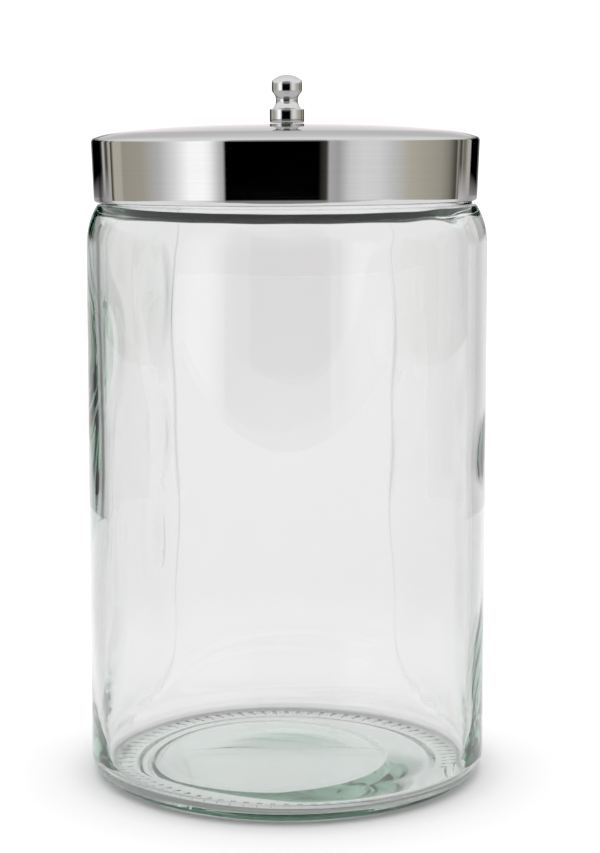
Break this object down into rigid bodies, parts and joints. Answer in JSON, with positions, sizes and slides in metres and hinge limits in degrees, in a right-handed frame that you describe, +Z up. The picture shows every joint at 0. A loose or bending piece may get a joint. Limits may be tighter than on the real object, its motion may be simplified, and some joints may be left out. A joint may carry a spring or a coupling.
{
  "type": "lidded glass jar",
  "caption": "Round clear glass storage jar with a loose brushed metal lid that drops over its neck and lifts off by a small turned knob.",
  "frame": {"origin": "middle of the foot, on the surface that the jar stands on", "axes": "+Z up the jar's axis of symmetry, towards the knob"},
  "size_m": [0.109, 0.109, 0.1904],
  "materials": {
    "clear_glass": "fire-polished, pale green in its depth",
    "brushed_lid": "fine brushing round the skirt",
    "plated_knob": "turned and bright plated",
    "plated_fastener": "zinc plated"
  },
  "bodies": {
    "jar": {"jar_body": "clear_glass"},
    "lid": {"lid_shell": "brushed_lid", "lid_knob": "plated_knob", "knob_screw": "plated_fastener", "flat_washer": "plated_fastener", "lock_washer": "plated_fastener"}
  },
  "joints": [
    {"name": "lid_lift", "type": "slide", "parent": "jar", "child": "lid", "axis": [0, 0, 1], "range_m": [0, 0.1]}
  ]
}
